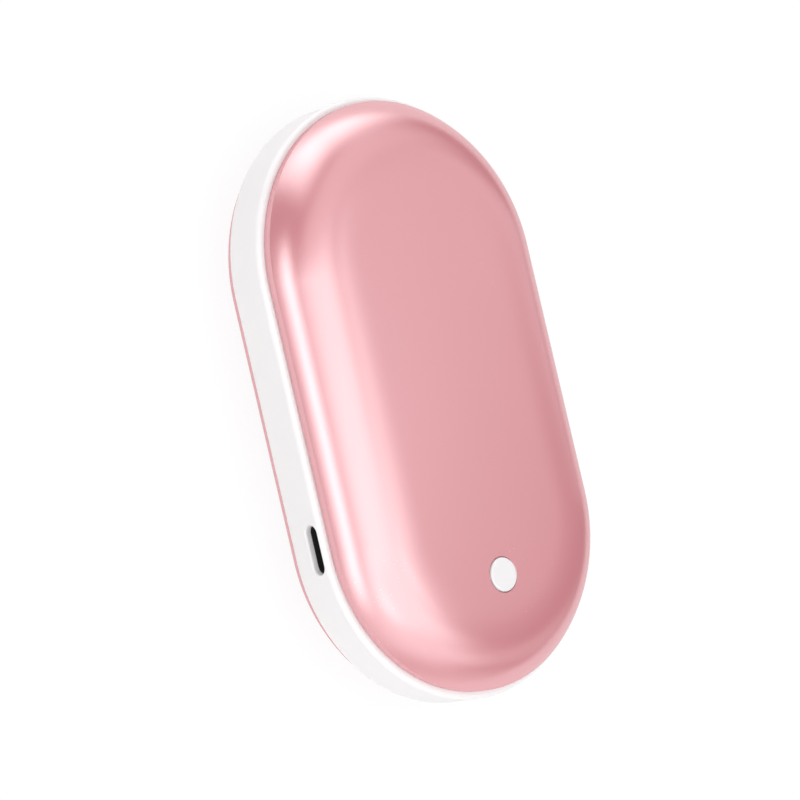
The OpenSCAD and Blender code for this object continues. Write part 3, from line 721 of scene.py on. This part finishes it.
def make_floor():
    shape = bmesh.new()
    bmesh.ops.create_grid(shape, x_segments=1, y_segments=1, size=FLOOR_HALF,
                          matrix=Matrix.Translation((0, 0, -FLOOR_DROP * MM)))
    mesh = bpy.data.meshes.new("floor")
    shape.to_mesh(mesh)
    shape.free()
    floor = bpy.data.objects.new("floor", mesh)
    bpy.context.scene.collection.objects.link(floor)
    material = bpy.data.materials.new("white_floor")
    material.use_nodes = True
    tree = material.node_tree
    tree.nodes.clear()
    lit = add(tree, "ShaderNodeBsdfDiffuse", {"Color": (0.8, 0.8, 0.8, 1)})
    shaded = add(tree, "ShaderNodeBsdfDiffuse", {"Color": (1, 1, 1, 1)})
    bright = add(tree, "ShaderNodeEmission", {"Color": (1, 1, 1, 1), "Strength": 1.0})
    shown = add(tree, "ShaderNodeMixShader", {
        "Fac": WHITE_SHARE, 1: shaded.outputs[0], 2: bright.outputs[0]})
    path = tree.nodes.new("ShaderNodeLightPath")
    seen = Field(tree, path.outputs["Is Camera Ray"])
    seen = seen.work("MAXIMUM", seen, path.outputs["Is Glossy Ray"])
    seen = seen.work("MAXIMUM", seen, path.outputs["Is Transmission Ray"])
    choice = add(tree, "ShaderNodeMixShader", {
        "Fac": seen, 1: lit.outputs[0], 2: shown.outputs[0]})
    end = tree.nodes.new("ShaderNodeOutputMaterial")
    tree.links.new(choice.outputs[0], end.inputs["Surface"])
    mesh.materials.append(material)


make_floor()


# Light: a pale room with large soft lamps, each placed by its direction from the warmer

CENTRE = Vector((0, 0, HALF_T * MM))
LAMP_DISTANCE = 3.0


def soft_lamp(name, azimuth, polar, half_width, half_height, twist, softness, brightness):
    """An area lamp at LAMP_DISTANCE whose face fades towards its edges.

    Azimuth runs from +X towards +Y and polar from straight up; with the twist about the
    lamp's own axis they are in degrees. The half sizes are shares of the distance, the
    softness is the share of each half that fades, and brightness is that of the middle.
    """
    a, p = math.radians(azimuth), math.radians(polar)
    out = Vector((math.sin(p) * math.cos(a), math.sin(p) * math.sin(a), math.cos(p)))
    side = Vector((-math.sin(a), math.cos(a), 0))
    data = bpy.data.lights.new(name, "AREA")
    data.shape = "RECTANGLE"
    data.size = 2 * half_width * LAMP_DISTANCE
    data.size_y = 2 * half_height * LAMP_DISTANCE
    data.energy = brightness * math.pi * data.size * data.size_y
    data.use_nodes = True
    tree = data.node_tree
    across_face = tree.nodes.new("ShaderNodeNewGeometry").outputs["Parametric"]
    parts = add(tree, "ShaderNodeSeparateXYZ", {"Vector": across_face})
    level = 1.0
    for axis in (0, 1):
        offset = Field(tree, parts.outputs[axis]) * 2 - 1
        rise = ((1 - offset.work("ABSOLUTE", offset)) / softness).clamped()
        level = rise * rise * (3 - 2 * rise) * level
    put(tree, tree.nodes["Emission"].inputs["Strength"], level)
    lamp = bpy.data.objects.new(name, data)
    facing = Matrix((side, out.cross(side), out)).transposed()
    twisted = facing @ Matrix.Rotation(math.radians(twist), 3, "Z")
    lamp.matrix_world = Matrix.Translation(CENTRE + out * LAMP_DISTANCE) @ twisted.to_4x4()
    lamp.visible_camera = False
    bpy.context.scene.collection.objects.link(lamp)


def light_room(strength):
    world = bpy.data.worlds.new("studio")
    world.use_nodes = True
    back = world.node_tree.nodes["Background"]
    back.inputs["Color"].default_value = (1, 1, 1, 1)
    back.inputs["Strength"].default_value = strength
    bpy.context.scene.world = world


# Nine lamps were fitted to the tones of the front shell in the photograph, rounded, and some then
# changed; near low and left glow were placed one by one
light_room(strength=0.28)
soft_lamp("overhead", 233, 22, 1.01, 0.67, 45, 0.60, 1.64)
soft_lamp("left strip", 184, 64, 0.78, 0.15, -8, 0.70, 3.80)
soft_lamp("far end", 103, 83, 0.96, 0.43, 92, 0.85, 1.79)
soft_lamp("far glow", 72, 88, 0.75, 0.85, -25, 0.99, 2.72)
soft_lamp("far fill", 82, 21, 2.06, 0.53, 32, 0.68, 0.57)
soft_lamp("near fill", 251, 62, 1.26, 0.54, 21, 0.93, 1.12)
soft_lamp("left glow", 220, 48, 0.38, 0.26, 0, 0.90, 0.60)
soft_lamp("near haze", 309, 62, 0.91, 0.28, -36, 0.60, 0.30)
soft_lamp("near low", 285, 85, 0.70, 0.24, 0, 0.90, 0.42)
soft_lamp("face glow", 353, 28, 0.28, 0.16, -42, 0.45, 1.46)
soft_lamp("right fill", 7, 64, 0.50, 0.14, 78, 0.44, 0.53)


# Camera: as the photograph was taken, from the middle of the front seam. The turns are
# about the body's Y, then X, then the line of sight; the lengths are in millimetres

TURN, LIFT, ROLL = math.radians(41.03), math.radians(-0.945), math.radians(13.12)
DISTANCE, ACROSS, UP = 460.405, 5.0925, 0.8716
FRONT_SEAM = HALF_T + SEAM_Z
FOCAL_PIXELS = 2617.85
PICTURE_PIXELS = 800
SENSOR = 36

turned_to_camera = (Matrix.Rotation(ROLL, 3, "Z") @ Matrix.Rotation(LIFT, 3, "X")
                    @ Matrix.Rotation(TURN, 3, "Y"))
to_world = turned_to_camera.transposed()
camera_data = bpy.data.cameras.new("camera")
camera_data.sensor_width = SENSOR
camera_data.lens = FOCAL_PIXELS / PICTURE_PIXELS * SENSOR
camera = bpy.data.objects.new("camera", camera_data)
camera_place = to_world @ Vector((-ACROSS, -UP, DISTANCE)) + Vector((0, 0, FRONT_SEAM))
camera.matrix_world = Matrix.Translation(camera_place * MM) @ to_world.to_4x4()
bpy.context.scene.collection.objects.link(camera)
bpy.context.scene.camera = camera
bpy.context.scene.view_settings.view_transform = "Standard"
